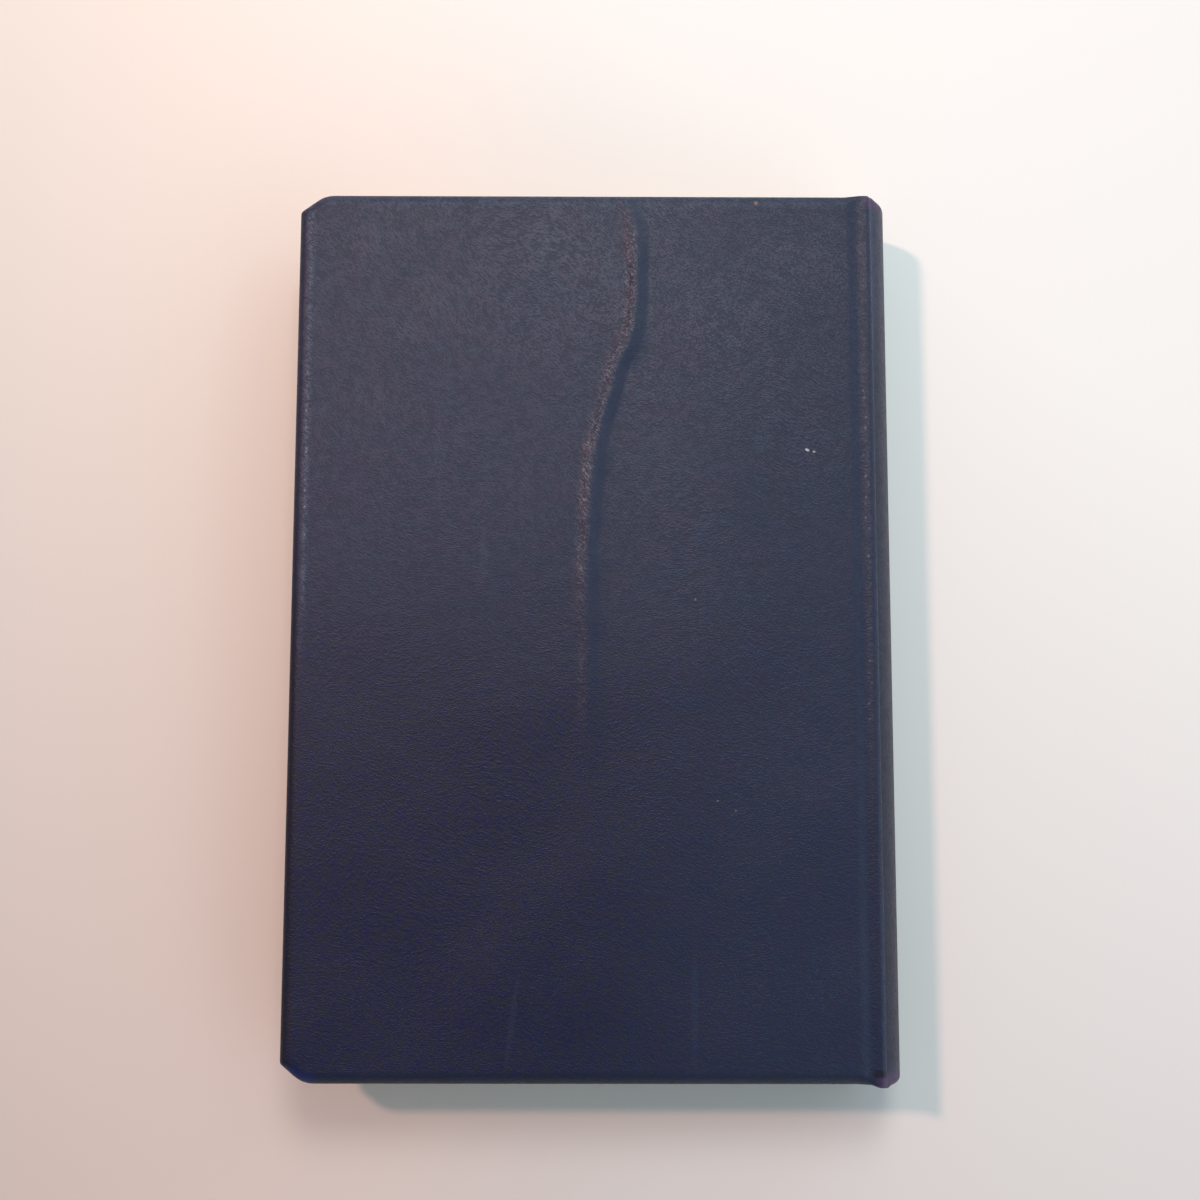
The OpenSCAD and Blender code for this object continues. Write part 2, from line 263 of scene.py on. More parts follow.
def dress(piece, material):
    """Gives a piece one material, whatever slots it came with."""
    piece.data.materials.clear()
    piece.data.materials.append(material)


paper_fibre, given, result = new_group(
    "paper_fibre",
    [("Place", "Vector", None), ("Scale", "Float", 900.0), ("Clouds", "Float", 60.0)],
    ["Tone", "Height", "Clouds"])
fine = grain(paper_fibre, given["Place"], given["Scale"], 4.0, 0.6)
cloud = grain(paper_fibre, given["Place"], given["Clouds"], 3.0, 0.55)
pulp = plus(paper_fibre, times(paper_fibre, fine, 0.6), times(paper_fibre, cloud, 0.4))
paper_fibre.links.new(pulp, result["Tone"])
paper_fibre.links.new(fine, result["Height"])
paper_fibre.links.new(cloud, result["Clouds"])

foxing, given, result = new_group(
    "foxing",
    [("Place", "Vector", None), ("Scale", "Float", 140.0), ("Amount", "Float", 0.5)],
    ["Spots"])
cells = add(foxing, "ShaderNodeTexVoronoi", Vector=given["Place"], Scale=given["Scale"])
spot = spread(foxing, cells.outputs["Distance"], 0.02, 0.22, 1.0, 0.0)
few = spread(foxing, cells.outputs["Color"], 0.72, 0.9)
foxing.links.new(times(foxing, times(foxing, spot, few), given["Amount"]), result["Spots"])

leaf_edge, tree, shader = new_material("trimmed_leaf_edges", 0.8, Specular_IOR_Level=0.25)
where = object_place(tree)
lines = grain(tree, stretch(tree, where, (40, 40, 9000)), 1.0, 2.0, 0.6)
bands = grain(tree, stretch(tree, where, (15, 15, 700)), 1.0, 2.0, 0.5)
fibre = use_group(tree, paper_fibre, Place=where, Scale=1400.0, Clouds=45.0)
foxed = use_group(tree, foxing, Place=where, Scale=190.0, Amount=0.5)
tone = mix(tree, spread(tree, lines, 0.32, 0.68), edge_brown, edge_cream)
tone = mix(tree, spread(tree, bands, 0.35, 0.7, 0.0, 0.4), tone, edge_band)
tone = mix(tree, foxed["Spots"], tone, edge_foxing)
tone = mix(tree, spread(tree, fibre["Tone"], 0.3, 0.7, 0.0, 0.3), tone, edge_fibre)
tree.links.new(tone, shader.inputs["Base Color"])
set_bump(tree, shader, lines, 0.5, 0.00005)
dress(leaves, leaf_edge)
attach(leaves, "book_block")
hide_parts("text_block")

# Endpapers: a folded sheet of plain paper at each end of the book. One half is the free leaf,
# the other is pasted down over the turned-in cloth, and the fold bends round the joint.
paper_half = 0.04
fold_half = 92.4
fold_line = np.array([
    (-1.95, 9.95), (-1.8, 10.05), (-1.65, 10.15), (-1.55, 10.23), (-1.48, 10.31), (-1.45, 10.38),
    (-1.44, 10.44), (-1.45, 10.5), (-1.48, 10.55), (-1.55, 10.59), (-1.65, 10.55), (-1.8, 10.47),
    (-1.95, 10.37),
])
endpaper_cream = (0.83, 0.77, 0.63, 1)
endpaper_cloud = (0.78, 0.7, 0.54, 1)
endpaper_fibre = (0.7, 0.61, 0.45, 1)
endpaper_foxing = (0.55, 0.38, 0.2, 1)

endpaper, tree, shader = new_material("endpaper", 0.75, Specular_IOR_Level=0.3)
where = object_place(tree)
fibre = use_group(tree, paper_fibre, Place=where, Scale=1100.0, Clouds=28.0)
foxed = use_group(tree, foxing, Place=where, Scale=110.0, Amount=0.45)
tone = mix(tree, spread(tree, fibre["Clouds"], 0.3, 0.7), endpaper_cloud, endpaper_cream)
tone = mix(tree, spread(tree, fibre["Tone"], 0.3, 0.7, 0.0, 0.3), tone, endpaper_fibre)
tone = mix(tree, foxed["Spots"], tone, endpaper_foxing)
tree.links.new(tone, shader.inputs["Base Color"])
set_bump(tree, shader, fibre["Height"], 0.3, 0.00006)
for name in ("front_flyleaf", "back_flyleaf", "front_pastedown", "back_pastedown"):
    dress(nodes[name], endpaper)

fold_share = np.linspace(0, len(fold_line) - 1, 49)
fold_x = np.interp(fold_share, range(len(fold_line)), fold_line[:, 0])
fold_z = np.interp(fold_share, range(len(fold_line)), fold_line[:, 1])
fold_run = np.stack([np.gradient(fold_x), np.gradient(fold_z)], axis=-1)
fold_run /= np.linalg.norm(fold_run, axis=1)[:, None]
ends = np.linspace(-fold_half, fold_half, 40)
for side, body in ((1, "back_cover"), (-1, "front_cover")):
    fold_points = np.empty((len(fold_x), len(ends), 2, 3))
    for k, offset in enumerate((-paper_half, paper_half)):
        x = fold_x + fold_run[:, 1] * offset
        z = fold_z - fold_run[:, 0] * offset
        fold_points[:, :, k] = place(x[:, None], ends[None, :], side * z[:, None])
    piece = closed_skin(body.split("_")[0] + "_endpaper_fold", fold_points, flip=side < 0)
    dress(piece, endpaper)
    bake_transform(piece)

# Spine linings: open cotton gauze glued over the back of the leaves and on to the boards,
# a strip of brown paper on it, and the card inlay inside the spine's cloth.
thread_pale = (0.75, 0.7, 0.58, 1)
thread_gap = (0.42, 0.35, 0.24, 1)

gauze, tree, shader = new_material("sized_gauze", 0.85, Specular_IOR_Level=0.2)
where = object_place(tree)
warp, weft = (
    add(tree, "ShaderNodeTexWave", {"bands_direction": axis},
        Vector=where, Scale=420.0, Distortion=0.4).outputs["Fac"]
    for axis in ("X", "Y"))
threads = calc(tree, "MAXIMUM", warp, weft)
tone = mix(tree, spread(tree, threads, 0.3, 0.9), thread_gap, thread_pale)
tree.links.new(tone, shader.inputs["Base Color"])
set_bump(tree, shader, threads, 0.6, 0.0001)
for name in ("spine_mull", "back_mull_flange", "front_mull_flange"):
    dress(nodes[name], gauze)


def plain_stock(name, light, dark, scale, clouds, roughness):
    """Paper or card made of one pulp, from a light and a dark tone of it."""
    material, tree, shader = new_material(name, roughness, Specular_IOR_Level=0.25)
    fibre = use_group(tree, paper_fibre, Place=object_place(tree), Scale=scale, Clouds=clouds)
    tone = mix(tree, spread(tree, fibre["Tone"], 0.3, 0.7), dark, light)
    tree.links.new(tone, shader.inputs["Base Color"])
    set_bump(tree, shader, fibre["Height"], 0.4, 0.0001)
    return material


dress(nodes["spine_liner"], plain_stock(
    "brown_lining_paper", (0.5, 0.36, 0.2, 1), (0.36, 0.25, 0.13, 1), 800.0, 90.0, 0.7))
dress(nodes["spine_inlay"], plain_stock(
    "grey_inlay_card", (0.42, 0.38, 0.31, 1), (0.3, 0.27, 0.22, 1), 600.0, 80.0, 0.85))

# Headband and tailband: thread wound side by side over a cord,
# glued on the back of the leaves at head and tail, under the caps.
band_centre = 10.46
band_thick = 0.85
band_y = 93.75
band_foot = 0.75
band_tip = 0.35
tip_run = 0.05
rib_depth = 0.1
rib_steps = 6
winding = 0.5
band_angle = radians(40.5)
band_turns = int(2 * band_angle * band_centre / winding)
thread_red = (0.34, 0.12, 0.12, 1)
thread_dark = (0.16, 0.045, 0.05, 1)

thread, tree, shader = new_material("band_thread", 0.55, Sheen_Weight=0.2, Specular_IOR_Level=0.4)
strands = grain(tree, stretch(tree, object_place(tree), (1500, 5000, 1500)), 1.0, 2.0, 0.6)
tone = mix(tree, spread(tree, strands, 0.3, 0.7), thread_dark, thread_red)
tree.links.new(tone, shader.inputs["Base Color"])

turn = np.linspace(-band_angle, band_angle, band_turns * rib_steps + 1)
ring = np.linspace(0, 2 * pi, 17)
rib = np.abs(np.sin(np.arange(len(turn)) * pi / rib_steps))
taper = ease(-band_angle, tip_run - band_angle, turn) * ease(band_angle, band_angle - tip_run, turn)
radius = band_thick * (1 - rib_depth + rib_depth * rib) * (band_tip + (1 - band_tip) * taper)
out = band_centre + radius[:, None] * np.cos(ring)
count = len(ring) - 1
last = (len(turn) - 1) * count
for name, side in (("headband", 1), ("tailband", -1)):
    y = side * (band_y + np.maximum(radius[:, None] * np.sin(ring), -band_foot))
    tube = place(back_centre + out * np.cos(turn)[:, None], y, out * np.sin(turn)[:, None])
    verts = [tuple(p) for p in tube[:, :-1].reshape(-1, 3)]
    faces = [
        (a + b, a + (b + 1) % count, a + count + (b + 1) % count, a + count + b)
        for a in range(0, last, count) for b in range(count)
    ]
    faces += [tuple(range(count))[::-1], tuple(range(last, last + count))]
    if side < 0:
        faces = [face[::-1] for face in faces]
    mesh = bpy.data.meshes.new("wound_" + name)
    mesh.from_pydata(verts, [], faces)
    mesh.shade_smooth()
    piece = bpy.data.objects.new("wound_" + name, mesh)
    scene.collection.objects.link(piece)
    dress(piece, thread)
    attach(piece, "book_block")
    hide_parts(name)

# Boards: dense grey-brown millboard, cut square and rubbed round at the edges,
# wrapped in the cloth and held by glue.
millboard = plain_stock(
    "millboard", (0.4, 0.34, 0.25, 1), (0.27, 0.23, 0.17, 1), 500.0, 60.0, 0.9)
for name in ("front_board", "back_board"):
    dress(nodes[name], millboard)

# Case cloth: one sheet of grained bookcloth glued over both boards and the spine's card,
# pressed into the joints, rolled over at head and tail, and turned in over the boards' edges.
# The back cover's cloth has come loose along one long raised wrinkle.
cloth_thick = 0.4
cover_width = 125.4
cover_half = 96
face_z = 12.2
cover_thick = 3.5
turned_in = 15
outer_round = 2.0
inner_round = 0.6
corner_reach = 16.0
head_clip = (5.4, 3.9)
tail_clip = (4.8, 4.1)
clip_round = {"side": 0.5, "head": 2.0, "tail": 2.5}
groove_depth = 0.32
groove_x = 2.0
ramp_rise = 2.159
ramp_end = 1.5
joint_thick = 0.9
crest_drop = 0.1
crest_z = 10.9
crest_radius = 1.2
crest_start = 2.2
crest_edge = {"thick": 1.0, "outer": 0.75, "inner": 0.25, "back": 2.6}
crest_bulge = {"head": 0.0, "tail": 0.6}
crest_steps = 14
spine_radius = 13.062
hollow_fillet = 0.8
cap_start = 3.2
cap_bulge = {"head": 0.4, "tail": 0.85}
cap_filling = 0.45
filling_x = 2.0
filling_width = 0.7
cap_inset = [16, 8, 3.2, 2.2, 1.5, 0.9, 0.2, -0.35]
cap_depth = [1.5, 1.5, 1.5, 1.75, 2.35, 2.95, 3.05, 2.9]
fold_height = 0.85
fold_left = 3.0
fold_right = 4.6
fold_centre = -61.4
fold_length = 128
fold_course = np.array([
    (7.6, 0.01, 0.3), (9.3, 0.035, 0.6), (10.3, 0.07, 0.8), (10.5, 0.125, 0.95),
    (10.4, 0.18, 1), (9.8, 0.24, 1), (8, 0.277, 1), (6, 0.303, 1), (5, 0.344, 1),
    (3.2, 0.39, 0.95), (1.8, 0.437, 0.9), (1, 0.477, 0.85), (0.3, 0.54, 0.8),
    (-0.1, 0.625, 0.75), (-0.4, 0.695, 0.65), (-0.1, 0.773, 0.5),
    (0.2, 0.875, 0.35), (0.4, 0.945, 0.2), (1, 1, 0),
])


def bell(value, middle, width):
    """A soft bump from 0 to 1 and back, round a middle value."""
    return np.exp(-((value - middle) / width) ** 2)


def dip(x):
    """Depth of the cloth below the cover's face, from the board to the crest."""
    rising = (1 - np.cos(pi * (x + groove_x) / groove_x)) / 2
    falling = (1 - np.cos(pi * (x + board_edge) / (board_edge - groove_x))) / 2
    rise = groove_depth - (groove_depth - crest_drop) * rising
    return np.where(x <= -board_edge, 0, np.where(x <= -groove_x, groove_depth * falling, rise))


def edge_profile(thick, outer, inner, back):
    """From the turned-in end round the edge to the face: distance in from the edge, and depth."""
    inner_turn = np.radians([0, 30, 60, 90])
    outer_turn = np.radians(np.arange(0, 91, 10))
    run = 1.35 * outer
    on_face = np.array([0.04, 0.09, 0.15, 0.22, 0.3, 0.38, 0.47, 0.57, 0.68, 0.8, 0.9, 1])
    inset = np.concatenate([
        np.linspace(back, inner + 0.4 * (back - inner), 4), inner * (1 - np.sin(inner_turn)),
        run * (1 - np.cos(outer_turn)), run + (corner_reach - run) * on_face])
    depth = np.concatenate([
        np.full(4, thick), thick - inner * (1 - np.cos(inner_turn)),
        outer * (1 - np.sin(outer_turn)), np.zeros(len(on_face))])
    return inset, depth


def cap_profile():
    """The same for the spine, where the cloth rolls over a cord and back inside the card."""
    inset, depth = edge_profile(1.5, 0.9, 0.3, turned_in)
    inset[:len(cap_inset)] = cap_inset
    depth[:len(cap_depth)] = cap_depth
    return inset, depth


def spine_course():
    """The cloth from the crest's top to the middle of the spine: its places and inward sides."""
    near, far_off = crest_radius + hollow_fillet, spine_radius + hollow_fillet
    gap = sqrt(back_centre ** 2 + crest_z ** 2)
    along_line = (gap ** 2 + far_off ** 2 - near ** 2) / (2 * gap)
    aside = sqrt(far_off ** 2 - along_line ** 2)
    ux, uz = -back_centre / gap, crest_z / gap
    fx = back_centre + along_line * ux + aside * uz
    fz = along_line * uz - aside * ux
    crest_end = atan2(fz - crest_z, fx)
    spine_start = atan2(fz, fx - back_centre)
    rows = []
    for a in np.linspace(pi / 2, crest_end, crest_steps):
        rows.append((crest_radius * cos(a), crest_z + crest_radius * sin(a), -cos(a), -sin(a)))
    first = atan2(crest_z - fz, -fx)
    last = atan2(-fz, back_centre - fx)
    for a in np.linspace(first, last + 2 * pi if last < first else last, 8)[1:-1]:
        rows.append((fx + hollow_fillet * cos(a), fz + hollow_fillet * sin(a), cos(a), sin(a)))
    for a in np.linspace(spine_start, 0, 30):
        rows.append((back_centre + spine_radius * cos(a), spine_radius * sin(a), -cos(a), -sin(a)))
    return np.array(rows)


def clipped_point(inset, end_name, share, on_side):
    """A point of an inset outline, from the fore-edge or the end to the middle of the clip."""
    clip = head_clip if end_name == "head" else tail_clip
    slant = sqrt(clip[0] ** 2 + clip[1] ** 2)
    side = np.array([inset, clip[1] + inset * (slant - clip[1]) / clip[0]])
    end = np.array([clip[0] + inset * (slant - clip[0]) / clip[1], inset])
    if side[1] <= inset:
        side = end = np.array([inset, inset])
    middle = (side + end) / 2
    vertex = side if on_side else end
    start = np.array([inset, corner_reach] if on_side else [corner_reach, inset])
    back, ahead = start - vertex, middle - vertex
    length, rest = np.linalg.norm(back), np.linalg.norm(ahead)
    if length < 1e-6:
        return vertex
    if rest < 1e-6:
        return start - share * back
    soft = min(clip_round["side" if on_side else end_name], 0.5 * length, 0.8 * rest)
    t = np.linspace(0, 1, 7)[:, None]
    bend = vertex + (1 - t) ** 2 * soft * back / length + t ** 2 * soft * ahead / rest
    path = np.vstack([start, bend, middle])
    reach = np.concatenate([[0], np.cumsum(np.linalg.norm(np.diff(path, axis=0), axis=1))])
    return np.array([np.interp(share * reach[-1], reach, path[:, n]) for n in (0, 1)])


def cover_section(x):
    """Height of the cover's face or joint, its profile at head and tail, and its bulge there."""
    fall = float(dip(x))
    ramp = max(0.0, ramp_rise * (x + board_edge) / (board_edge - ramp_end))
    thick = max(cover_thick - fall - ramp, joint_thick)
    plain = {"thick": thick, "outer": min(outer_round, 0.57 * thick),
             "inner": min(inner_round, 0.3 * thick), "back": turned_in}
    at_crest = float(ease(-crest_start, 0, x))
    edge = {key: plain[key] * (1 - at_crest) + crest_edge[key] * at_crest for key in plain}
    bulge = {end: crest_bulge[end] * at_crest for end in crest_bulge}
    return face_z - fall, edge_profile(**edge), bulge


def spine_section(x, travelled):
    """Profile of the spine's cloth at head and tail, and its bulge, at a distance from the crest."""
    share = float(ease(0, cap_start, travelled))
    filled = cap_filling * float(bell(x, filling_x, filling_width))
    profile = tuple(
        a + (b - a) * share for a, b in zip(edge_profile(**crest_edge), cap_profile()))
    bulge = {end: crest_bulge[end] + (cap_bulge[end] - crest_bulge[end]) * share + filled
             for end in cap_bulge}
    return profile, bulge


plate_in, plate_down = edge_profile(cover_thick, outer_round, inner_round, turned_in)
ring_steps = np.hypot(np.diff(plate_in), np.diff(plate_down))
ring_reach = np.concatenate([np.cumsum(ring_steps[::-1])[::-1], [0]])


def case_lattice(inner_x, inner_y):
    """Outer places of half a case, their depth round the edges, and the cover's columns."""
    count = len(plate_in)
    joint_x = np.linspace(-board_edge, 0, 27)[:-1]
    face_x = np.concatenate([-cover_width + plate_in, inner_x, joint_x])
    course = spine_course()
    crest_foot = course[crest_steps - 1]
    rows = 2 * count + len(inner_y)
    X, Y, Z, D = np.zeros((4, len(face_x) + len(course), rows))
    for i in range(len(X)):
        nx, nz = 0.0, -1.0
        if i < count:
            x, z = face_x[i], face_z - plate_down[i]
        elif i < len(face_x):
            x = face_x[i]
            z, profile, bulge = cover_section(x)
        else:
            step = i - len(face_x)
            x, z, nx, nz = course[step]
            past_crest = step >= crest_steps
            travelled = np.hypot(x - crest_foot[0], z - crest_foot[1]) if past_crest else 0
            profile, bulge = spine_section(x, travelled)
        X[i], Z[i] = x, z
        Y[i, count:-count] = inner_y
        D[i, count:-count] = plate_down[i] if i < count else 0
        for j in [*range(count), *range(rows - count, rows)]:
            k = min(j, rows - 1 - j)
            end, outward = ("tail", -1) if j < count else ("head", 1)
            if i < count:
                ring = min(i, k)
                reach = ring_reach[ring]
                share = ring_reach[max(i, k)] / reach if reach else 0.0
                a, b = clipped_point(plate_in[ring], end, share, i <= k)
                D[i, j] = plate_down[ring]
                X[i, j] = -cover_width + a
                Y[i, j] = (cover_half - b) * outward
                Z[i, j] = face_z - D[i, j]
            else:
                inset, D[i, j] = profile[0][k], profile[1][k]
                X[i, j] = x + nx * D[i, j]
                Y[i, j] = (cover_half - inset + bulge[end] * float(ease(8, 1.5, inset))) * outward
                Z[i, j] = z + nz * D[i, j]
    return X, Y, Z, D, len(face_x)


def raised_fold(X, Y):
    """Height of the wrinkle, its rubbed crest that also carries a painted highlight, and its smooth
    side that carries painted shade.
    """
    fine_y = np.arange(cover_half + 6, -60, -0.25)
    course_y = cover_half - fold_course[:, 1] * fold_length
    kernel = np.exp(-0.5 * (np.arange(-16, 17) / 4.0) ** 2)
    kernel /= kernel.sum()
    shift, share = (
        np.interp(-Y, -fine_y, np.convolve(
            np.pad(np.interp(-fine_y, -course_y, fold_course[:, n]), 16, "edge"), kernel, "valid"))
        for n in (0, 2))
    aside = X - shift - fold_centre
    swell = 1 + 0.16 * np.sin(Y / 4.3) + 0.1 * np.sin(Y / 1.9 + 1)
    across = np.clip(aside / (swell * np.where(aside < 0, fold_left, fold_right)), -1, 1)
    hump = (0.5 + 0.5 * np.cos(pi * across)) ** np.where(across < 0, 1.15, 1.8)
    shaded = bell(aside, 1.6, np.where(aside < 1.6, 1.2, 2.3))
    return fold_height * share * hump, share * bell(aside, -1.2, 1.1), share * shaded


def wear_and_light_masks(X, Y, Z, worn_lit_crest, shaded_flank, wrinkled):
    """Masks from 0 to 1: rubbed wear with a painted highlight line, rubbed ridges, a painted
    highlight on the spine, faded caps, the wrinkle's rubbed crest with a painted highlight, its
    flank with painted shade, painted shade on the spine and edges, and a painted sheen on a corner's
    facet.
    """
    from_side, from_head, from_tail = X + cover_width, cover_half - Y, cover_half + Y
    from_end = np.minimum(from_head, from_tail)
    upper = Z > 8
    # Rubbed wear, with a painted highlight line a little in from the fore-edge; the head edge is
    # rubbed too.
    fore_rub_and_highlight = bell(from_side, 2.75, 0.55) * ease(-20, 10, Y) * ease(1, 4, from_head)
    head_rub = 0.33 * ease(3.8, 1.6, from_head) * ease(1, 6, from_side) * ease(-4, -6, X)
    # Painted shade on the spine's side below the head, deeper towards the tail.
    painted_shade = ease(0.5, 1.3, X) * ease(85, 50, Y) * ease(0, 5, from_end)
    painted_shade = painted_shade * (0.7 + 0.3 * ease(20, -50, Y))
    facet_sheen = np.zeros_like(X)
    if wrinkled:
        # With the wrinkle, painted shade also darkens narrow bands along the fore-edge and the tail
        # edge, but not the corner's facet.
        band = np.interp(Y, [-60, 30], [2.2, 1.1])
        fore_edge_shade = ease(band + 0.8, band - 0.4, from_side) * ease(60, -15, Y) * (X < -40)
        tail_edge_shade = ease(2.6, 1.3, from_tail) * ease(-0.5, -3, X)
        # A painted blue sheen on the facet of the clipped corner at the tail and fore-edge.
        facet_sheen = ease(0.35, -0.35, from_tail - 4.7 + 0.4 * from_side) * ease(8.6, 7.0, from_side)
        painted_shade = np.maximum.reduce([painted_shade, fore_edge_shade, tail_edge_shade]) * (1 - facet_sheen)
    return {
        "rub_and_highlight": np.maximum(fore_rub_and_highlight, head_rub) * upper,
        "ridge": bell(X, -0.9, 0.8) * upper * ease(82, 60, Y) * ease(-45, -10, Y),
        # Painted highlight in a thin line down the spine beside the crest.
        "painted_highlight": bell(X, 1.6, 0.4) * (Z > 7) * ease(25, 75, Y),
        "fade": ease(3.7, 1, from_end) * ease(-1.8, 0.6, X) * (0.3 + 0.7 * ease(4, 9, Z)),
        "worn_lit_crest": worn_lit_crest,
        "shaded_flank": shaded_flank,
        "painted_shade": painted_shade,
        "facet_sheen": facet_sheen,
    }


def half_case(name, side, inner_x, inner_y, wrinkled):
    """Half of the case: a cover, its joint and the spine to its middle."""
    X, Y, Z, D, cover_columns = case_lattice(inner_x, inner_y)
    on_face = np.clip(1 - D / 1.2, 0, 1) ** 2
    on_face[cover_columns:] = 0
    lift, worn_lit_crest, shaded_flank = raised_fold(X, Y) if wrinkled else np.zeros((3, *X.shape))
    for i, j in zip(*np.nonzero(on_face)):
        at = Vector((X[i, j] * 0.035, Y[i, j] * 0.035, 3.0 * side))
        lift[i, j] += 0.05 * noise.noise(at) + 0.02 * noise.noise(at * 4.0)
    Z = Z + lift * on_face
    X[cover_columns:] = np.maximum(X[cover_columns:], 0)
    outer = np.stack([X, Y, Z], axis=-1)
    normal = np.zeros_like(outer)
    cross = np.cross(outer[1:, 1:] - outer[:-1, :-1], outer[:-1, 1:] - outer[1:, :-1])
    for a in (slice(None, -1), slice(1, None)):
        for b in (slice(None, -1), slice(1, None)):
            normal[a, b] += cross
    normal /= np.maximum(np.linalg.norm(normal, axis=-1), 1e-9)[..., None]
    both = np.stack([outer - cloth_thick * normal, outer], axis=2)
    highest = face_z + (2 if wrinkled else 0)
    both[..., 2] = np.minimum(both[..., 2], highest)
    wear_and_light = wear_and_light_masks(X, Y, Z, worn_lit_crest, shaded_flank, wrinkled)
    values = {key: np.stack([v, v], axis=2) for key, v in wear_and_light.items()}
    points = place(both[..., 0], both[..., 1], side * both[..., 2])
    piece = closed_skin(name, points, flip=side < 0, **values)
    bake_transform(piece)
    return piece


back_columns = np.concatenate([
    np.linspace(-109.4, -65.4, 16)[1:], np.arange(-64.4, -47.3, 0.4),
    np.linspace(-46.8, -board_edge, 16)[1:-1]])
back_rows = np.concatenate([np.linspace(-80, -36, 18)[1:], np.arange(-35, 80, 1.25)])
front_columns = np.linspace(-109.4, -board_edge, 32)[1:-1]
front_rows = np.linspace(-80, 80, 50)[1:-1]
case_back = half_case("case_cloth_back", 1, back_columns, back_rows, True)
case_front = half_case("case_cloth_front", -1, front_columns, front_rows, False)
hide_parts("back_cloth", "spine_cloth")
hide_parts("front_cloth")

# Finish of the case cloth: navy, embossed with short leather-like streaks that lean more
# towards the head, rubbed pale and reddish on its ridges and faded purple at the caps.
# Painted highlights run along the fore-edge, on the wrinkle's left flank and down the spine;
# painted shade darkens the wrinkle's right flank, the outer edges, the spine's side and the tail
# half, and a painted blue sheen lies on a clipped corner.
streak_size = (900, 2000, 1500)
navy = (0.009, 0.0165, 0.052, 1)
navy_patch = (0.0145, 0.019, 0.052, 1)
plum = (0.023, 0.0155, 0.05, 1)
teal = (0.014, 0.03, 0.05, 1)
pressed_navy = (0.004, 0.009, 0.03, 1)
wear_and_highlight_blue = (0.095, 0.135, 0.2, 1)
thread_and_highlight_grey = (0.34, 0.35, 0.31, 1)
rubbed_red = (0.08, 0.045, 0.06, 1)
flank_shade_navy = (0.006, 0.01, 0.032, 1)
speck_grey = (0.3, 0.29, 0.31, 1)
highlight_grey = (0.13, 0.15, 0.2, 1)
faded_purple = (0.12, 0.04, 0.1, 1)
clip_sheen_blue = (0.003, 0.018, 0.11, 1)
shade_tint = (0.26, 0.36, 0.58, 1)
tail_shade_blue = (0.15, 0.24, 0.74, 1)
tail_shade_brown = (0.29, 0.33, 0.52, 1)
spine_side_shade = (0.65, 0.75, 0.88, 1)

leather_grain, given, result = new_group(
    "leather_grain", [("Place", "Vector", None)], ["Height", "Tone"])
warped = add(leather_grain, "ShaderNodeTexNoise", Vector=given["Place"], Scale=30.0, Detail=1.0)
bent = mix(leather_grain, 0.02, given["Place"], warped.outputs["Color"], "ADD")
level_streak, slant_streak = (
    grain(leather_grain, stretch(leather_grain, bent, streak_size, turn), 1.0, 2.0, 0.65)
    for turn in (-6.0, -42.0))
place_y = add(leather_grain, "ShaderNodeSeparateXYZ", Vector=given["Place"]).outputs["Y"]
slanted = spread(leather_grain, place_y, -0.03, 0.06)
lean = times(leather_grain, slanted, calc(leather_grain, "SUBTRACT", slant_streak, level_streak))
coarse = plus(leather_grain, lean, level_streak)
fine = grain(leather_grain, stretch(leather_grain, bent, (2200, 3400, 2800), -20.0), 1.0, 1.0, 0.6)
blotch = grain(leather_grain, bent, 420.0, 1.0, 0.5)
height = plus(leather_grain, times(leather_grain, coarse, 0.4), times(leather_grain, fine, 0.4))
height = plus(leather_grain, height, times(leather_grain, blotch, 0.2))
leather_grain.links.new(height, result["Height"])
leather_grain.links.new(spread(leather_grain, height, 0.42, 0.58), result["Tone"])

bookcloth, tree, shader = new_material("grained_bookcloth", 0.48, Specular_IOR_Level=0.42)
where = object_place(tree)
axes = add(tree, "ShaderNodeSeparateXYZ", Vector=where).outputs
pressed = use_group(tree, leather_grain, Place=where)
rub_and_highlight, ridge, painted_highlight, fade, worn_lit_crest, shaded_flank, painted_shade, facet_sheen = (
    add(tree, "ShaderNodeAttribute", {"attribute_name": name}).outputs["Fac"]
    for name in ("rub_and_highlight", "ridge", "painted_highlight", "fade", "worn_lit_crest", "shaded_flank", "painted_shade", "facet_sheen"))

patches = grain(tree, where, 45.0, 3.0, 0.6)
hue = grain(tree, where, 160.0, 2.0, 0.5)
fleck = grain(tree, where, 700.0, 2.0, 0.6)
tone = mix(tree, spread(tree, patches, 0.3, 0.7), navy, navy_patch)
tone = mix(tree, spread(tree, hue, 0.38, 0.62, 0.0, 0.6), tone, plum)
tone = mix(tree, spread(tree, fleck, 0.48, 0.7, 0.0, 0.7), tone, teal)
tone = mix(tree, spread(tree, pressed["Tone"], 0.0, 1.0, 0.75, 0.0), tone, pressed_navy)

worn_grain = grain(tree, stretch(tree, where, (1100, 3200, 1500), -50.0), 1.0, 2.0, 0.6)
worn_grain = plus(tree, worn_grain, times(tree, pressed["Tone"], 0.25))
# Pale blue for rubbed wear and for painted highlights along the fore-edge and the wrinkle's left
# flank.
wear_and_light = plus(tree, times(tree, rub_and_highlight, 0.5), times(tree, ridge, 0.08))
wear_and_light = plus(tree, wear_and_light, times(tree, worn_lit_crest, 0.26))
wear_and_light = times(tree, wear_and_light, spread(tree, worn_grain, 0.45, 0.85))
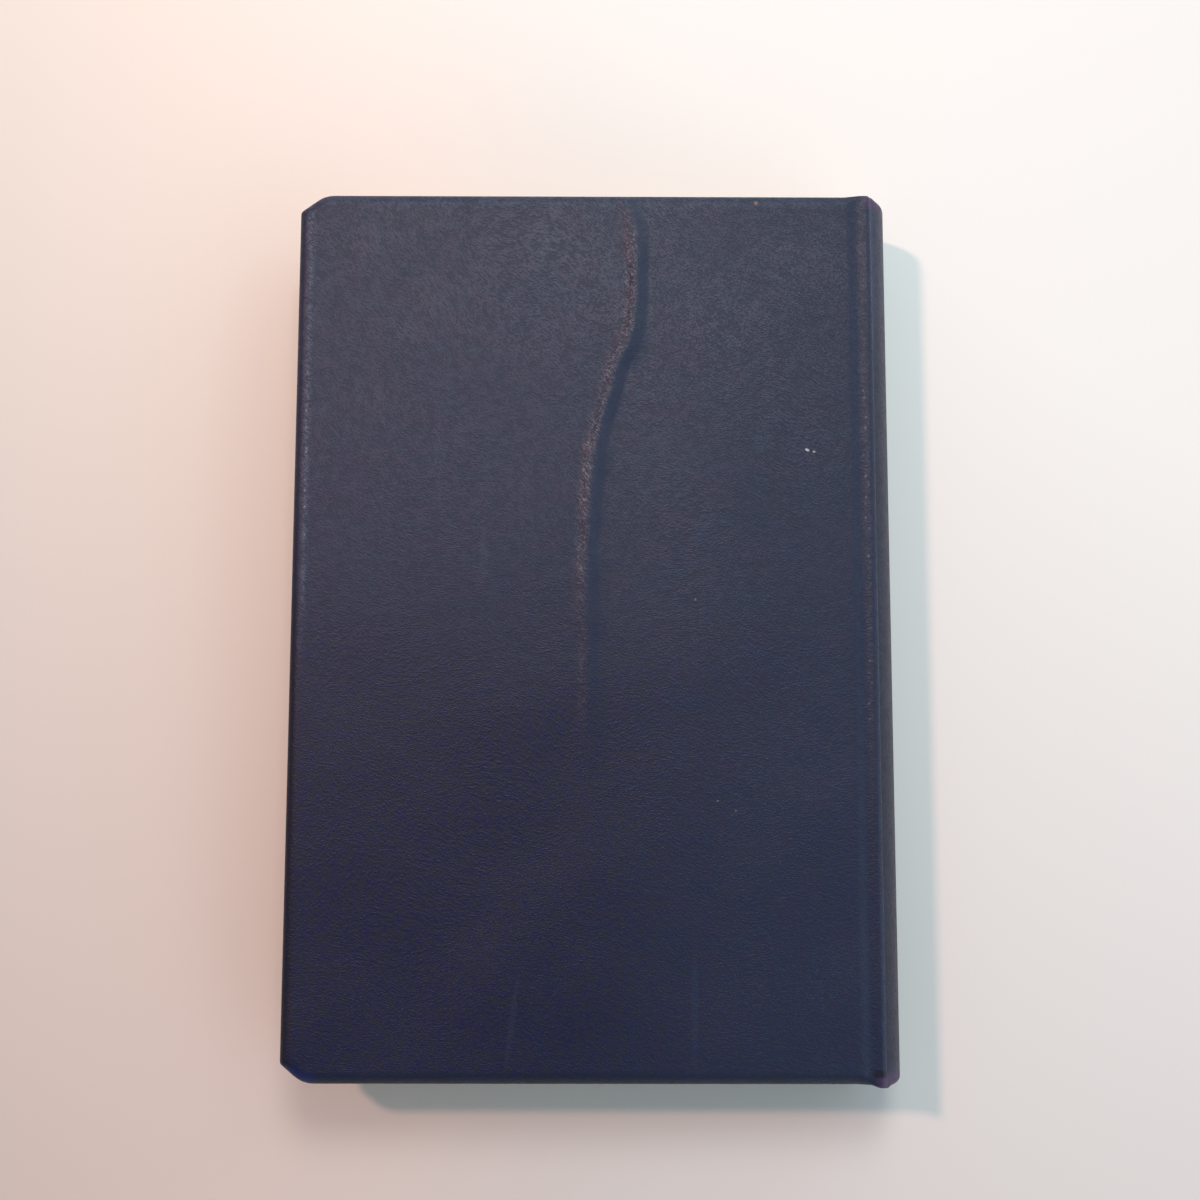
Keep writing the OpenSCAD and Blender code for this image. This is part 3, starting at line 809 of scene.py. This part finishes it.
# Pale bare thread and a painted highlight speckled along the wrinkle's lit left flank.
bared_and_lit = times(tree, worn_lit_crest, spread(tree, worn_grain, 0.72, 0.86, 0.0, 0.4))
bared_and_lit = times(tree, bared_and_lit, spread(tree, grain(tree, where, 75.0, 1.0, 0.5), 0.38, 0.56, 0.35, 1.0))
tone = mix(tree, wear_and_light, tone, wear_and_highlight_blue)
tone = mix(tree, bared_and_lit, tone, thread_and_highlight_grey)
tone = mix(tree, times(tree, ridge, 0.08), tone, rubbed_red)
# Painted shade on the wrinkle's right flank, which faces away from the warm lamp.
tone = mix(tree, times(tree, shaded_flank, 0.5), tone, flank_shade_navy)

dots = add(tree, "ShaderNodeTexVoronoi", Vector=stretch(tree, where, (900, 850, 400)), Scale=1.0)
dot = times(tree, spread(tree, dots.outputs["Distance"], 0.1, 0.4, 1.0, 0.0),
            spread(tree, dots.outputs["Color"], 0.35, 0.6))
middle_run = times(tree, spread(tree, axes["Y"], -0.032, -0.024),
                   spread(tree, axes["Y"], 0.06, 0.05))
edges = calc(tree, "MAXIMUM", spread(tree, ridge, 0.45, 0.9), spread(tree, rub_and_highlight, 0.45, 0.9))
specked = calc(tree, "MAXIMUM", times(tree, worn_lit_crest, 0.12), times(tree, middle_run, edges))
tone = mix(tree, times(tree, times(tree, dot, specked), 0.4), tone, speck_grey)
# Painted highlight down the spine.
tone = mix(tree, times(tree, painted_highlight, 0.25), tone, highlight_grey)
tone = mix(tree, times(tree, fade, 0.6), tone, faded_purple)
# Painted sheen on the clipped corner's facet.
tone = mix(tree, times(tree, facet_sheen, 0.8), tone, clip_sheen_blue)
# Painted shade multiplied into the spine's side and the outer edges.
tone = mix(tree, painted_shade, tone, shade_tint, "MULTIPLY")

# Painted shade, mottled: the cover darker in its tail half, fading out towards the spine.
near_tail = times(tree, spread(tree, axes["Y"], 0.03, -0.03),
                  spread(tree, axes["X"], 0.055, -0.01))
mottle = spread(tree, grain(tree, where, 450.0, 3.0, 0.6), 0.38, 0.62)
tail_shade = mix(tree, mottle, tail_shade_blue, tail_shade_brown)
tone = mix(tree, near_tail, tone, tail_shade, "MULTIPLY")
# Painted shade: the cover darker towards the spine, and the spine darkest.
tone = mix(tree, spread(tree, axes["X"], 0.01, 0.045), tone, spine_side_shade, "MULTIPLY")


def marked(tone, colour, share, at, size, turn):
    """The tone with one soft mark: its place, half sizes along x and y, and turn in degrees."""
    offset = add(tree, "ShaderNodeVectorMath", {"operation": "SUBTRACT"},
                 i0=where, i1=(at[0] * mm, at[1] * mm, 0.024))
    turned = stretch(tree, offset.outputs[0], (1, 1, 0.2), turn)
    sized = add(tree, "ShaderNodeVectorMath", {"operation": "MULTIPLY"},
                i0=turned, i1=(1 / (size[0] * mm), 1 / (size[1] * mm), 400))
    far = add(tree, "ShaderNodeVectorMath", {"operation": "LENGTH"}, i0=sized.outputs[0])
    return mix(tree, spread(tree, far.outputs["Value"], 0.5, 1.2, share, 0.0), tone, colour)


for at, size, turn, colour, share in (
    ((-24.9, 87.5), (0.35, 5.0), 0, (0.01, 0.012, 0.03, 1), 0.45),
    ((-24.1, 14.5), (1.1, 6.5), 0, (0.05, 0.055, 0.085, 1), 0.14),
    ((20.9, -80.0), (0.9, 13.0), 0, (0.02, 0.045, 0.1, 1), 0.13),
    ((-17.2, -83.0), (0.7, 10.5), -7, (0.04, 0.045, 0.08, 1), 0.12),
    ((35.0, 70.5), (0.8, 4.5), -25, (0.04, 0.042, 0.06, 1), 0.2),
    ((46.0, 38.3), (0.55, 0.32), -30, (0.5, 0.5, 0.5, 1), 0.8),
    ((47.5, 37.9), (0.35, 0.28), 0, (0.4, 0.4, 0.42, 1), 0.6),
    ((21.5, 5.5), (0.25, 0.25), 0, (0.3, 0.3, 0.32, 1), 0.35),
    ((26.0, -37.4), (0.25, 0.25), 0, (0.3, 0.3, 0.32, 1), 0.25),
    ((29.8, -39.5), (0.25, 0.25), 0, (0.3, 0.3, 0.32, 1), 0.25),
    ((35.4, 94.0), (0.5, 0.5), 0, (0.3, 0.12, 0.05, 1), 0.6),
    ((59.6, -93.6), (2.0, 0.9), 0, (0.001, 0.001, 0.012, 1), 1.0),
):
    tone = marked(tone, colour, share, at, size, turn)
tree.links.new(tone, shader.inputs["Base Color"])
tree.links.new(spread(tree, pressed["Tone"], 0.0, 1.0, 0.54, 0.43), shader.inputs["Roughness"])
left_raised = spread(tree, shaded_flank, 0.2, 0.9, 1.0, 0.5)
set_bump(tree, shader, times(tree, pressed["Height"], left_raised), 1.0, 0.0002)
dress(case_back, bookcloth)
dress(case_front, bookcloth)

# Table and light: a pale surface with painted shade and light on it, a small warm lamp high on the
# upper left, a broad one beyond the head of the book, and a cool surround that fills the shadows.
table_half = 8
table_lit_end = (0.89, 0.86, 0.815, 1)
table_shaded_end = (0.57, 0.505, 0.485, 1)
left_shadow_tint = (1.0, 0.93, 0.87, 1)
beside_book_light_tint = (1.08, 1.03, 1.02, 1)

floor_mesh = bpy.data.meshes.new("floor")
corners = [(x * table_half, y * table_half, 0) for x, y in ((-1, -1), (1, -1), (1, 1), (-1, 1))]
floor_mesh.from_pydata(corners, [], [(0, 1, 2, 3)])
floor = bpy.data.objects.new("floor", floor_mesh)
scene.collection.objects.link(floor)
surface, tree, shader = new_material("pale_table", 0.7, Specular_IOR_Level=0.2)
axes = add(tree, "ShaderNodeSeparateXYZ", Vector=object_place(tree)).outputs
slant = plus(tree, times(tree, axes["X"], 0.6), times(tree, axes["Y"], 0.8))
# Painted shade: the table darker towards its near left corner, lighter towards the far right.
tone = mix(tree, spread(tree, slant, -0.2, 0.12, soft=False), table_shaded_end, table_lit_end)
# Painted shadow: a warm tint over the table's left side.
tone = mix(tree, spread(tree, axes["X"], 0.04, -0.13), tone, left_shadow_tint, "MULTIPLY")
# Painted light: a lighter band on the table beside the book's left edge, where the book shades it.
near = times(tree, spread(tree, axes["X"], -0.16, -0.08), spread(tree, axes["X"], 0.0, -0.06))
tone = mix(tree, near, tone, beside_book_light_tint, "MULTIPLY")
tree.links.new(tone, shader.inputs["Base Color"])
dress(floor, surface)


def area_lamp(name, size, energy, colour, location):
    """A round lamp that shines on the book."""
    lamp = bpy.data.objects.new(name, bpy.data.lights.new(name, "AREA"))
    lamp.data.shape = "DISK"
    lamp.data.size = size
    lamp.data.energy = energy
    lamp.data.color = colour
    lamp.location = location
    lamp.rotation_euler = (-lamp.location).to_track_quat("-Z", "Y").to_euler()
    scene.collection.objects.link(lamp)


area_lamp("warm_lamp", 0.15, 14.3, (1.0, 0.59, 0.5), (-0.98, 0.61, 1.5))
area_lamp("broad_lamp", 0.3, 2.5, (1.0, 1.0, 0.96), (0.04, 0.46, 0.75))

world = bpy.data.worlds.new("surround")
scene.world = world
world.use_nodes = True
tree = world.node_tree
tree.nodes.clear()
toward = add(tree, "ShaderNodeTexCoord").outputs["Generated"]
axes = add(tree, "ShaderNodeSeparateXYZ", Vector=toward).outputs
overhead = add(tree, "ShaderNodeVectorMath", {"operation": "DOT_PRODUCT"},
               i0=toward, i1=(-0.1, -0.3, 0.95)).outputs["Value"]
sky = mix(tree, spread(tree, axes["X"], -0.9, 0.1), (0.16, 0.18, 0.2, 1), (0.46, 0.55, 0.6, 1))
sky = mix(tree, spread(tree, axes["X"], 0.0, 0.9), sky, (1.0, 1.25, 1.4, 1))
sky = mix(tree, spread(tree, overhead, 0.6, 0.97), sky, (0.09, 0.13, 0.16, 1))
level_light = times(tree, times(tree, axes["Y"], axes["Y"]), 0.9)
ambient = add(tree, "ShaderNodeBackground", Color=sky, Strength=plus(tree, level_light, 1.0))
backdrop = add(tree, "ShaderNodeBackground", Color=(0.93, 0.91, 0.88, 1), Strength=1.0)
seen = add(tree, "ShaderNodeLightPath").outputs["Is Camera Ray"]
joined = add(tree, "ShaderNodeMixShader", i0=seen, i1=ambient.outputs[0], i2=backdrop.outputs[0])
add(tree, "ShaderNodeOutputWorld", Surface=joined.outputs[0])
